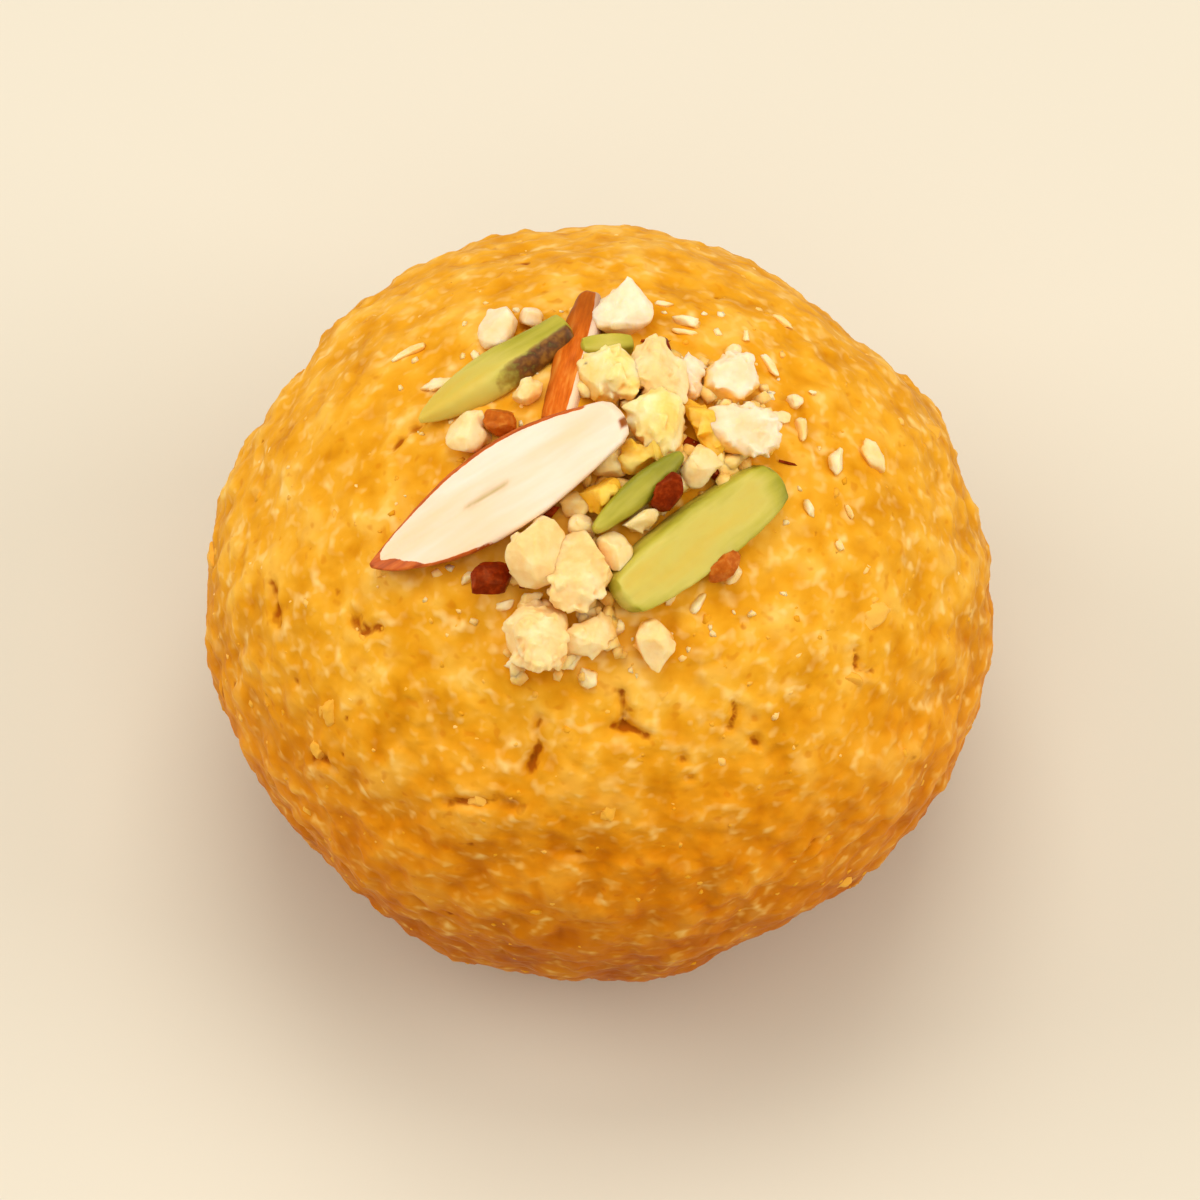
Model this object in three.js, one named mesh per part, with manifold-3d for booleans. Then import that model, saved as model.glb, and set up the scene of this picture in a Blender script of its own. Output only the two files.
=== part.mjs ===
// A garnished besan ladoo: a hand-pressed ball of roasted gram-flour paste with cut almonds,
// pistachios and chopped cashew pressed into its crown. Millimetres, +Z up, the front is -Y, and
// the origin is the middle of the small flat patch that the ball rests on.
import * as THREE from 'three';
import { LoftGeometry } from 'three/addons/geometries/LoftGeometry.js';
import { mergeVertices } from 'three/addons/utils/BufferGeometryUtils.js';
import Module from 'manifold-3d';

// The ball before its underside is pressed flat.
const BALL_RADIUS = 25; // level radius
const BALL_RISE = 20; // half of its height
const REST_PRESS = 1; // depth of the flat patch, cut off the lowest point
const BALL_DETAIL = 10; // subdivisions of the icosahedron that becomes the ball

// Broad hollows left by the palm: bearing and rise in degrees, from +X and from level, the
// spread in degrees to where the hollow has faded to a third, and its depth.
const PALM_HOLLOWS = [
  { bearing: 47, rise: 18, spread: 13, depth: 1.6 },
  { bearing: -56, rise: -20, spread: 15, depth: 1.3 },
  { bearing: -138, rise: -17, spread: 22, depth: 0.8 },
  { bearing: 147, rise: 13, spread: 11, depth: 0.6 },
  { bearing: 17, rise: 7, spread: 9, depth: 0.5 },
  { bearing: -18, rise: -8, spread: 11, depth: 0.5 },
  { bearing: -90, rise: 25, spread: 24, depth: 0.4 },
  { bearing: 92, rise: -25, spread: 26, depth: 0.5 },
];

// Low lumps of the pressed paste, spread evenly over the ball.
const LUMP_COUNT = 220;
const LUMP_SPREAD = 7; // degrees
const LUMP_HEIGHT = 0.3;
const LUMP_WANDER = 0.7; // how fast the heights change from lump to lump

// Nut pieces keep this gap to the paste and to each other.
const GAP = 0.3;

// Long cut nuts. Each runs between two spots on the crown, given as how far east (+X) and north
// (+Y) they are and how high the piece's middle is above the ball. The ends are shares of the
// full width, belly is the power that fills the outline out, corner the power that squares the
// section, lean slants the sides, and roll turns the piece about its length in degrees.
const LONG_NUTS = [
  {
    name: 'almond_slice', finish: 'almond',
    from: { east: -13.6, north: -6.5, lift: 1 }, to: { east: 1.3, north: 0.2, lift: 3.2 },
    width: 5.9, thickness: 1.6, ends: [0.1, 0.2], belly: 0.82, corner: 6, lean: -0.4, roll: 0,
  },
  {
    name: 'almond_sliver', finish: 'almond_skin',
    from: { east: -0.5, north: 11.2, lift: 0.8 }, to: { east: -2.7, north: 1.3, lift: 0.1 },
    width: 2.1, thickness: 1.5, ends: [0.3, 0.85], belly: 0.6, corner: 4, lean: 0.15, roll: -8,
  },
  {
    name: 'pistachio_right', finish: 'pistachio',
    from: { east: 1.1, north: -10.2, lift: 1 }, to: { east: 10.5, north: -1.6, lift: 1 },
    width: 3.7, thickness: 1.9, ends: [0.55, 0.4], belly: 0.55, corner: 5, lean: -0.2, roll: 6,
  },
  {
    name: 'pistachio_left', finish: 'pistachio',
    from: { east: -10.8, north: 2.4, lift: 0.8 }, to: { east: -1.9, north: 8.4, lift: 0.9 },
    width: 2.4, thickness: 1.7, ends: [0.12, 0.6], belly: 0.7, corner: 3.5, lean: 0.3, roll: -14,
  },
  {
    name: 'pistachio_middle', finish: 'pistachio',
    from: { east: -0.3, north: -6.2, lift: 1.7 }, to: { east: 4.7, north: -1.4, lift: 1.7 },
    width: 1.7, thickness: 1.3, ends: [0.3, 0.3], belly: 0.7, corner: 3, lean: 0.2, roll: 20,
  },
  {
    name: 'pistachio_back', finish: 'pistachio',
    from: { east: -1.6, north: 6.9, lift: 0.5 }, to: { east: 2.2, north: 7.2, lift: 0.7 },
    width: 1.9, thickness: 1.3, ends: [0.6, 0.5], belly: 0.6, corner: 4, lean: 0, roll: 0,
  },
];

// Chopped bits: where each sits on the crown, its length, width and height, and the turn of its
// length from east in degrees. The ones listed first push the later ones aside.
const CHOPPED_NUTS = [
  {
    name: 'skin_bit_front', finish: 'almond_skin',
    east: -6.5, north: -8.6, lift: 0.8, size: [2.7, 2.2, 1.6], turn: 40,
  },
  {
    name: 'skin_bit_middle', finish: 'almond_skin',
    east: 3.9, north: -3.6, lift: 1.5, size: [2.5, 2.1, 1.7], turn: 50,
  },
  {
    name: 'skin_bit_left', finish: 'almond_skin',
    east: -6, north: 1.5, lift: 0.9, size: [1.8, 1.9, 1.3], turn: 0,
  },
  {
    name: 'skin_bit_right', finish: 'almond_skin',
    east: 7.4, north: -7.4, lift: 0.6, size: [2.8, 1.9, 1.4], turn: 70,
  },
  {
    name: 'skin_bit_back', finish: 'almond_skin',
    east: 3.5, north: 7.2, lift: 0.5, size: [1.9, 1.3, 1], turn: -20,
  },
  {
    name: 'cashew_peak', finish: 'cashew',
    east: 1.6, north: 9.7, lift: 1.2, size: [3.4, 3.3, 2.8], turn: 99,
  },
  {
    name: 'cashew_front', finish: 'cashew',
    east: -3.7, north: -12.1, lift: 1.4, size: [4.4, 3.5, 2.6], turn: 75,
  },
  {
    name: 'cashew_right', finish: 'cashew',
    east: 8.4, north: 1, lift: 1.2, size: [4.3, 3.3, 2.5], turn: -15,
  },
  {
    name: 'cashew_middle', finish: 'cashew',
    east: -1.3, north: -8.6, lift: 1.3, size: [4.5, 3.5, 2.4], turn: 65,
  },
  {
    name: 'cashew_under_slice', finish: 'cashew',
    east: -3.7, north: -7.3, lift: 1.5, size: [3.8, 3.4, 2.6], turn: 60,
  },
  {
    name: 'cashew_ridged', finish: 'cashew',
    east: 3.5, north: 4.3, lift: 1.4, size: [4.2, 2.8, 2.5], turn: 110,
  },
  {
    name: 'cashew_yellow_back', finish: 'cashew_inner',
    east: 0.8, north: 4.2, lift: 1.3, size: [3.6, 3.4, 2.5], turn: 0,
  },
  {
    name: 'cashew_yellow_middle', finish: 'cashew_inner',
    east: 3.4, north: 0.8, lift: 1.4, size: [3.8, 3.2, 2.3], turn: 107,
  },
  {
    name: 'cashew_yellow_right', finish: 'cashew_inner',
    east: 6.1, north: 1.1, lift: 1, size: [3.9, 1.7, 1.8], turn: -50,
  },
  {
    name: 'cashew_far_right', finish: 'cashew',
    east: 7.9, north: 4.7, lift: 1, size: [3.5, 2.7, 2.1], turn: 50,
  },
  {
    name: 'cashew_alone', finish: 'cashew',
    east: 3.3, north: -12.6, lift: 0.9, size: [3, 2.2, 1.9], turn: 100,
  },
  {
    name: 'cashew_yellow_low', finish: 'cashew_inner',
    east: 2.6, north: -1.5, lift: 1.2, size: [3.2, 2.1, 1.9], turn: 12,
  },
  {
    name: 'cashew_beside_slice', finish: 'cashew_inner',
    east: 0.4, north: -4.2, lift: 1.2, size: [2.4, 2.2, 2], turn: 90,
  },
  {
    name: 'cashew_between', finish: 'cashew',
    east: 0.9, north: -7.4, lift: 0.9, size: [2.4, 1.7, 1.6], turn: 110,
  },
  {
    name: 'cashew_low_front', finish: 'cashew',
    east: -0.6, north: -12.1, lift: 0.9, size: [2.8, 2.3, 1.8], turn: 20,
  },
  {
    name: 'cashew_left', finish: 'almond',
    east: -7.9, north: 1, lift: 0.8, size: [2.6, 2.2, 1.6], turn: 60,
  },
  {
    name: 'cashew_lone_left', finish: 'cashew',
    east: -6.2, north: 9, lift: 0.6, size: [2.6, 2.1, 1.5], turn: 60,
  },
  {
    name: 'cashew_by_pistachio', finish: 'almond',
    east: 2.4, north: -5.3, lift: 1, size: [1.9, 1.6, 1.5], turn: 30,
  },
  {
    name: 'cashew_inner_right', finish: 'cashew',
    east: 5.9, north: -1.8, lift: 1.2, size: [2.3, 1.8, 1.8], turn: 66,
  },
  {
    name: 'cashew_crumb_back', finish: 'cashew',
    east: 5.6, north: 4.9, lift: 0.8, size: [2.6, 1.8, 1.6], turn: 96,
  },
  {
    name: 'almond_crumb_left', finish: 'almond',
    east: -4.2, north: 9.9, lift: 0.4, size: [1.4, 1.3, 1], turn: 0,
  },
  {
    name: 'almond_crumb_gap', finish: 'almond',
    east: -4.4, north: 3.6, lift: 0.8, size: [1.7, 1.2, 1.2], turn: 35,
  },
  {
    name: 'cashew_crumb_low', finish: 'cashew',
    east: -1.2, north: -5.6, lift: 0.8, size: [1.4, 1.2, 1.2], turn: 0,
  },
];
const FINE_CHIP_SIZE = 4; // chips at least this long are rounded with more facets
const CHIP_FACETS = 7; // broken faces on a chip
const CHIP_REACH = 0.78; // how far out the faces are, as a share of the radius
const CHIP_REACH_SPREAD = 0.14;
const CHIP_FILL = 1.14; // makes up for the size that the broken faces take away
const CHIP_TURN = 1.7; // radians that each chip's faces are turned on from the last chip's
const CHIP_WANDER = { chip: 2.3, face: 1.9 }; // how fast the faces' reach changes
const STRIP_STEPS = 9; // lengths that a long nut's outline is made of
const STRIP_SIDES = 12; // points round a long nut's section
const STRIP_TIP = 0.55; // share of the thickness left where the outline closes

const FINISHES = {
  paste: { color: '#f0a632', roughness: 0.62, metalness: 0 },
  almond: { color: '#f8e6c0', roughness: 0.55, metalness: 0 },
  almond_skin: { color: '#c8601f', roughness: 0.45, metalness: 0 },
  pistachio: { color: '#cdbf4c', roughness: 0.5, metalness: 0 },
  cashew: { color: '#fae5bd', roughness: 0.6, metalness: 0 },
  cashew_inner: { color: '#f9d777', roughness: 0.5, metalness: 0 },
};

const wasm = await Module();
wasm.setup();

const radians = THREE.MathUtils.degToRad;
const ballCentre = BALL_RISE - REST_PRESS;

// A geometry with its seams closed, as a solid.
function solidOf(geometry) {
  const plain = new THREE.BufferGeometry().copy(geometry);
  plain.deleteAttribute('normal');
  plain.deleteAttribute('uv');
  const closed = mergeVertices(plain, 1e-4);
  return new wasm.Manifold(new wasm.Mesh({
    numProp: 3,
    vertProperties: closed.attributes.position.array,
    triVerts: new Uint32Array(closed.index.array),
  }));
}

// The largest body of a solid, as a geometry.
function geometryOf(solid) {
  const bodies = solid.decompose().sort((a, b) => b.volume() - a.volume());
  const { vertProperties, triVerts } = bodies[0].getMesh();
  const geometry = new THREE.BufferGeometry();
  geometry.setAttribute('position', new THREE.BufferAttribute(new Float32Array(vertProperties), 3));
  geometry.setIndex(new THREE.BufferAttribute(new Uint32Array(triVerts), 1));
  geometry.computeVertexNormals();
  return geometry;
}

// Moves every vertex of a geometry by a function.
function sculpt(geometry, move) {
  const places = geometry.attributes.position;
  const point = new THREE.Vector3();
  for (let i = 0; i < places.count; i += 1) {
    point.fromBufferAttribute(places, i);
    move(point);
    places.setXYZ(i, point.x, point.y, point.z);
  }
  return geometry;
}

function bearingOf(bearing, rise) {
  const level = Math.cos(radians(rise));
  return new THREE.Vector3(
    level * Math.cos(radians(bearing)),
    level * Math.sin(radians(bearing)),
    Math.sin(radians(rise)),
  );
}

// How far a swell around an axis reaches at a direction: 1 on the axis, fading with the angle.
function swell(direction, axis, spread) {
  return Math.exp(-((direction.angleTo(axis) / radians(spread)) ** 2));
}

// The lumps: even directions by the golden angle, with heights that wander up and down.
const goldenAngle = Math.PI * (3 - Math.sqrt(5));
const lumps = Array.from({ length: LUMP_COUNT }, (_, i) => {
  const up = 1 - (2 * i + 1) / LUMP_COUNT;
  const level = Math.sqrt(1 - up * up);
  return {
    axis: new THREE.Vector3(level * Math.cos(i * goldenAngle), level * Math.sin(i * goldenAngle), up),
    height: LUMP_HEIGHT * Math.sin(i * i * LUMP_WANDER + i),
  };
});
const hollows = PALM_HOLLOWS.map(({ bearing, rise, spread, depth }) => (
  { axis: bearingOf(bearing, rise), spread, depth }));

// The outward normal of the smooth ball where a unit direction meets it.
function ballNormal(direction) {
  return new THREE.Vector3(
    direction.x / BALL_RADIUS,
    direction.y / BALL_RADIUS,
    direction.z / BALL_RISE,
  ).normalize();
}

function makeBall() {
  const ball = new THREE.IcosahedronGeometry(1, BALL_DETAIL);
  sculpt(ball, (point) => {
    const direction = point.clone().normalize();
    let height = 0;
    for (const lump of lumps) height += lump.height * swell(direction, lump.axis, LUMP_SPREAD);
    for (const hollow of hollows) height -= hollow.depth * swell(direction, hollow.axis, hollow.spread);
    point.set(direction.x * BALL_RADIUS, direction.y * BALL_RADIUS, direction.z * BALL_RISE);
    point.addScaledVector(ballNormal(direction), height);
    point.z += ballCentre;
  });
  const floorBlock = new THREE.BoxGeometry(4 * BALL_RADIUS, 4 * BALL_RADIUS, BALL_RISE);
  floorBlock.translate(0, 0, -BALL_RISE / 2);
  return solidOf(ball).subtract(solidOf(floorBlock));
}

// A spot on the crown, and the outward normal there.
function crownSpot({ east, north, lift }) {
  const level = Math.hypot(east, north) / BALL_RADIUS;
  const direction = new THREE.Vector3(
    east / BALL_RADIUS, north / BALL_RADIUS, Math.sqrt(1 - level * level));
  const normal = ballNormal(direction);
  const place = new THREE.Vector3(east, north, ballCentre + direction.z * BALL_RISE);
  return { place: place.addScaledVector(normal, lift), normal };
}

// A piece's frame on the crown: X along its length, Z away from the ball.
function frameAlong(start, along, normal) {
  const x = along.clone().normalize();
  const y = new THREE.Vector3().crossVectors(normal, x).normalize();
  const z = new THREE.Vector3().crossVectors(x, y);
  return new THREE.Matrix4().makeBasis(x, y, z).setPosition(start);
}

// A long nut in its own frame, from the origin along +X. Its outline swells from one end to the
// other, and its section is a squared oval with slanted sides.
function stripGeometry({ length, width, thickness, ends, belly, corner, lean }, grow) {
  const sections = [];
  for (let step = 0; step <= STRIP_STEPS; step += 1) {
    const share = step / STRIP_STEPS;
    const endShare = THREE.MathUtils.lerp(ends[0], ends[1], share);
    const fill = endShare + (1 - endShare) * Math.sin(Math.PI * share) ** belly;
    const halfWidth = (width / 2) * fill + grow;
    const halfThickness = (thickness / 2) * THREE.MathUtils.lerp(STRIP_TIP, 1, fill) + grow;
    const section = [];
    for (let side = 0; side < STRIP_SIDES; side += 1) {
      const angle = (2 * Math.PI * (side + 0.5)) / STRIP_SIDES;
      const reach = (Math.abs(Math.cos(angle)) ** corner
        + Math.abs(Math.sin(angle)) ** corner) ** (-1 / corner);
      const up = halfThickness * reach * Math.sin(angle);
      const across = halfWidth * reach * Math.cos(angle) + lean * up;
      section.push(new THREE.Vector3(-grow + share * (length + 2 * grow), across, up));
    }
    sections.push(section);
  }
  return new LoftGeometry(sections, { capStart: true, capEnd: true });
}

// A chopped bit about the origin: a ball with flat broken faces struck off it at even angles.
function chipGeometry({ size, number }, grow) {
  const detail = size[0] >= FINE_CHIP_SIZE ? 2 : 1;
  const chip = new THREE.IcosahedronGeometry(1, detail);
  const faces = Array.from({ length: CHIP_FACETS }, (_, i) => {
    const up = 1 - (2 * i + 1) / CHIP_FACETS;
    const turn = i * goldenAngle + number * CHIP_TURN;
    const level = Math.sqrt(1 - up * up);
    const wander = Math.sin(number * CHIP_WANDER.chip + i * CHIP_WANDER.face);
    return {
      normal: new THREE.Vector3(level * Math.cos(turn), level * Math.sin(turn), up),
      reach: CHIP_REACH + CHIP_REACH_SPREAD * wander,
    };
  });
  const half = new THREE.Vector3(...size).multiplyScalar(CHIP_FILL / 2).addScalar(grow);
  return sculpt(chip, (point) => {
    for (const { normal, reach } of faces) {
      const over = point.dot(normal) - reach;
      if (over > 0) point.addScaledVector(normal, -over);
    }
    point.multiply(half);
  });
}

// Every nut piece with its frame on the crown and a function for its shape, made larger by grow.
const nuts = [];
for (const nut of LONG_NUTS) {
  const from = crownSpot(nut.from);
  const to = crownSpot(nut.to);
  const along = to.place.clone().sub(from.place);
  const frame = frameAlong(from.place, along, from.normal.clone().add(to.normal));
  frame.multiply(new THREE.Matrix4().makeRotationX(radians(nut.roll)));
  const shape = { ...nut, length: along.length() };
  nuts.push({ ...nut, frame, make: (grow) => stripGeometry(shape, grow) });
}
CHOPPED_NUTS.forEach((nut, number) => {
  const { place, normal } = crownSpot(nut);
  const frame = frameAlong(place, bearingOf(nut.turn, 0), normal);
  nuts.push({ ...nut, frame, make: (grow) => chipGeometry({ ...nut, number }, grow) });
});

function nodeMesh(name, finish, geometry) {
  const mesh = new THREE.Mesh(geometry, new THREE.MeshStandardMaterial(FINISHES[finish]));
  mesh.name = name;
  return mesh;
}

// Each nut is cut clear of the ones before it, and the ball is hollowed out under them all.
const sweet = new THREE.Group();
let taken = null;
for (const { name, finish, frame, make } of nuts) {
  let solid = solidOf(make(0).applyMatrix4(frame));
  if (taken) solid = solid.subtract(taken);
  const bed = solidOf(make(GAP).applyMatrix4(frame));
  taken = taken ? taken.add(bed) : bed;
  const geometry = geometryOf(solid).applyMatrix4(frame.clone().invert());
  const mesh = nodeMesh(name, finish, geometry);
  frame.decompose(mesh.position, mesh.quaternion, mesh.scale);
  sweet.add(mesh);
}
sweet.add(nodeMesh('ladoo', 'paste', geometryOf(makeBall().subtract(taken))));

export default sweet;
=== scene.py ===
import math
import random
from functools import partial

import bmesh
import bpy
import numpy as np
from mathutils import Matrix, Vector, noise
from mathutils.bvhtree import BVHTree


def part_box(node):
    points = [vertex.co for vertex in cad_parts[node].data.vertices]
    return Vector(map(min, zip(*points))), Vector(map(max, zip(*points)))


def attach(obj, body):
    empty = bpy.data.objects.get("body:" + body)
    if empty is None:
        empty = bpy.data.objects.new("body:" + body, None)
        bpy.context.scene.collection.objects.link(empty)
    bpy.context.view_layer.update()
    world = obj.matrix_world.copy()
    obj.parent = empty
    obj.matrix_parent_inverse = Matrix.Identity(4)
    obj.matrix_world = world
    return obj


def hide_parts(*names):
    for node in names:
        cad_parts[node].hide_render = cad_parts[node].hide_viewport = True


# A garnished besan ladoo: grainy golden paste with cut nuts pressed into its crown.
# The dictionaries are in millimetres and degrees. The meshes are in metres.

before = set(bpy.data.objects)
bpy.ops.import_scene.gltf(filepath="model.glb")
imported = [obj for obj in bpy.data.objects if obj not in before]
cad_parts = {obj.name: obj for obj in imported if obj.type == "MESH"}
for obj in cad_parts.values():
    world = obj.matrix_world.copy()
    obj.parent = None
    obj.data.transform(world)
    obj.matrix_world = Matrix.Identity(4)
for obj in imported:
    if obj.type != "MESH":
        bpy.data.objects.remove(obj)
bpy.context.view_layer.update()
scene = bpy.context.scene
mm = 0.001

# Without a seed, noise_vector gives other values on each run.
noise.seed_set(1)


def linearColour(hexColour):
    channels = []
    for start in (0, 2, 4):
        value = int(hexColour[start:start + 2], 16) / 255
        channels.append(value / 12.92 if value <= 0.04045 else ((value + 0.055) / 1.055) ** 2.4)
    return (*channels, 1.0)


def perMetre(sizeInMm):
    return 1 / (sizeInMm * mm)


# Adds a shader node. The values are its properties, its inputs, and the sockets or nodes that
# are linked to its inputs. Text for an input is a colour, and "stops" fills a colour ramp.
# In a mix of colours, input 0 is the share of the second, 6 is the first and 7 the second.
def addNode(tree, kind, values=None):
    node = tree.nodes.new("ShaderNode" + kind)
    for key, value in (values or {}).items():
        if isinstance(value, bpy.types.Node):
            value = next(socket for socket in value.outputs if socket.enabled)
        if isinstance(value, bpy.types.NodeSocket):
            tree.links.new(value, node.inputs[key])
        elif key == "stops":
            ramp = node.color_ramp
            while len(ramp.elements) < len(value):
                ramp.elements.new(0.5)
            for element, (place, colour) in zip(ramp.elements, value):
                element.position = place
                element.color = linearColour(colour)
        elif isinstance(key, str) and key in node.bl_rna.properties:
            setattr(node, key, value)
        else:
            node.inputs[key].default_value = linearColour(value) if isinstance(value, str) else value
    return node


# Starts a material, and gives it with the function that adds nodes to it and with the values
# that are stored at the vertices.
def newMaterial(name, *stored):
    material = bpy.data.materials.new(name)
    material.use_nodes = True
    material.node_tree.nodes.clear()
    add = partial(addNode, material.node_tree)
    values = [add("Attribute", {"attribute_name": value}).outputs["Fac"] for value in stored]
    return material, add, *values


# Ends a material with its shader, colour and fine relief. The depth is in millimetres.
def endMaterial(add, shader, colour, height, strength, depth):
    bump = add("Bump", {"Strength": strength, "Distance": depth * mm, "Height": height})
    bsdf = add("BsdfPrincipled", {**shader, "Base Color": colour, "Normal": bump})
    add("OutputMaterial", {"Surface": bsdf})


def smoothStep(low, high, value):
    share = np.clip((value - low) / (high - low), 0, 1)
    return share * share * (3 - 2 * share)


def unitRows(rows):
    return rows / np.linalg.norm(rows, axis=1)[:, None]


def readVectors(items, field):
    values = np.empty(len(items) * 3)
    items.foreach_get(field, values)
    return values.reshape(-1, 3)


def vertexPlaces(mesh):
    return readVectors(mesh.vertices, "co")


def vertexNormals(mesh):
    return readVectors(mesh.vertex_normals, "vector")


def setVertexPlaces(mesh, places):
    mesh.vertices.foreach_set("co", places.astype(np.float32).ravel())
    mesh.update()


# Stores a number or a vector at each vertex, for the materials to read.
def storeValues(mesh, name, values):
    values = np.asarray(values, np.float32)
    kind, field = ("FLOAT_VECTOR", "vector") if values.ndim == 2 else ("FLOAT", "value")
    mesh.attributes.new(name, kind, "POINT").data.foreach_set(field, values.ravel())


def meshFrom(bm, name):
    bmesh.ops.recalc_face_normals(bm, faces=bm.faces)
    mesh = bpy.data.meshes.new(name)
    bm.to_mesh(mesh)
    bm.free()
    return mesh


def newObject(name, data):
    made = bpy.data.objects.new(name, data)
    scene.collection.objects.link(made)
    return made


def finishPiece(name, mesh, material, replaced=(), flat=False):
    piece = newObject(name, mesh)
    mesh.materials.append(material)
    mesh.polygons.foreach_set("use_smooth", [not flat] * len(mesh.polygons))
    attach(piece, "root")
    if replaced:
        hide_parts(*replaced)
    return piece


# Gram-flour paste: flour roasted in ghee and pressed while warm. It looks golden and dense,
# clouded in soft patches, with pale grits showing through, which also serve as painted glints of
# ghee, and a soft shine of ghee.
# It reads "broad", a soft drift of tone with painted shade, paler on lumps and darker in dents,
# and "crackGap", the distance in millimetres to the nearest crack.
def makePasteMaterial():
    material, add, broad, crackGap = newMaterial(
        "ghee-bound gram flour paste", "broad", "crackGap")
    place = add("TexCoord").outputs["Object"]

    # soft patches some millimetres across, and inside them clouds of 1 to 2 mm
    tone = add("ValToRGB", {"Fac": broad, "stops": [
        (0.0, "c47c08"), (0.2, "dc9614"), (0.42, "e8a422"), (0.6, "f0b234"), (0.85, "f8ca60")]})
    clouds = add("TexNoise", {
        "Vector": place, "Scale": perMetre(1.8), "Detail": 2.0, "Roughness": 0.5})
    cloudTone = add("ValToRGB", {"Fac": clouds, "stops": [
        (0.28, "d08608"), (0.42, "e4a01a"), (0.54, "ecae2c"), (0.63, "f4bc46"), (0.72, "fcd47c")]})
    body = add("Mix", {"data_type": "RGBA", 0: 0.5, 6: tone, 7: cloudTone})

    # pale grits, 0.3 to 1 mm across and lying flat, with soft edges, crowded in the paler clouds;
    # they also serve as painted glints of wet ghee
    flattened = add("VectorMath", {"operation": "MULTIPLY", 0: place, 1: (1, 1, 1.6)})
    flecks = add("TexNoise", {
        "Vector": flattened, "Scale": perMetre(1.0), "Detail": 1.0, "Roughness": 0.5})
    gritAndGlintMask = add("MapRange", {
        "Value": flecks, "From Min": 0.55, "From Max": 0.8, "To Max": 0.75})
    crowding = add("MapRange", {
        "Value": clouds, "From Min": 0.38, "From Max": 0.6, "To Min": 0.3})
    crowded = add("Math", {"operation": "MULTIPLY", 0: gritAndGlintMask, 1: crowding})
    flecked = add("Mix", {"data_type": "RGBA", 0: crowded, 6: body, 7: "ffe29a"})

    # small orange pocks
    pocks = add("MapRange", {"Value": flecks, "From Min": 0.34, "From Max": 0.24, "To Max": 0.4})
    pocked = add("Mix", {"data_type": "RGBA", 0: pocks, 6: flecked, 7: "cc7404"})

    # painted shade: deeper and browner down the front and underside, standing in for the shade
    # and warm bounce there, though less on the grits
    front = add("VectorMath", {"operation": "DOT_PRODUCT", 0: place, 1: (0, 0.5, 1)})
    frontShare = add("MapRange", {"Value": front, "From Min": 4 * mm, "From Max": 26 * mm})
    level = add("SeparateXYZ", {0: place}).outputs["Z"]
    levelShare = add("MapRange", {"Value": level, "From Min": -6 * mm, "From Max": 24 * mm})
    litShare = add("Math", {"operation": "MINIMUM", 0: frontShare, 1: levelShare})
    tint = add("ValToRGB", {
        "Fac": litShare, "stops": [(0.0, "d8aa50"), (0.45, "f8da9c"), (1.0, "ffffff")]})
    bare = add("Math", {"operation": "MULTIPLY_ADD", 0: crowded, 1: -0.7, 2: 1.0})
    shadePainted = add("Mix", {
        "data_type": "RGBA", "blend_type": "MULTIPLY", 0: bare, 6: pocked, 7: tint})

    # painted shade: brown where a crack is open and round the pits, for the shade down in them
    edge = add("Math", {"operation": "ADD", 0: flecks, 1: crackGap})
    crackShadeMask = add("MapRange", {
        "Value": edge, "From Min": 0.5, "From Max": 0.75, "To Min": 0.85, "To Max": 0.0})
    cracked = add("Mix", {"data_type": "RGBA", 0: crackShadeMask, 6: shadePainted, 7: "9c4602"})

    shader = {"Roughness": 0.5, "Specular IOR Level": 0.08, "Specular Tint": "ffd890"}
    height = add("Math", {"operation": "ADD", 0: flecks, 1: clouds})
    endMaterial(add, shader, cracked, height, 0.45, 0.3)
    return material


# Coarse flour grits and drier lumps in the paste: matt, and paler than the paste round them.
# "shade" is how pale each one is; on the grits it also holds painted shade, darker down the front
# and underside.
def makeGritMaterial():
    material, add, shade = newMaterial("coarse gram flour grit", "shade")
    place = add("TexCoord").outputs["Object"]
    tone = add("ValToRGB", {"Fac": shade, "stops": [
        (0.0, "e8a420"), (0.35, "eeae30"), (0.75, "f8c25a"), (1.0, "ffdc98")]})
    fine = add("TexNoise", {"Vector": place, "Scale": perMetre(0.4), "Detail": 2.0})
    shader = {"Roughness": 0.5, "Specular IOR Level": 0.15, "Specular Tint": "ffd890"}
    endMaterial(add, shader, tone, fine, 0.4, 0.1)
    return material


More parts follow.
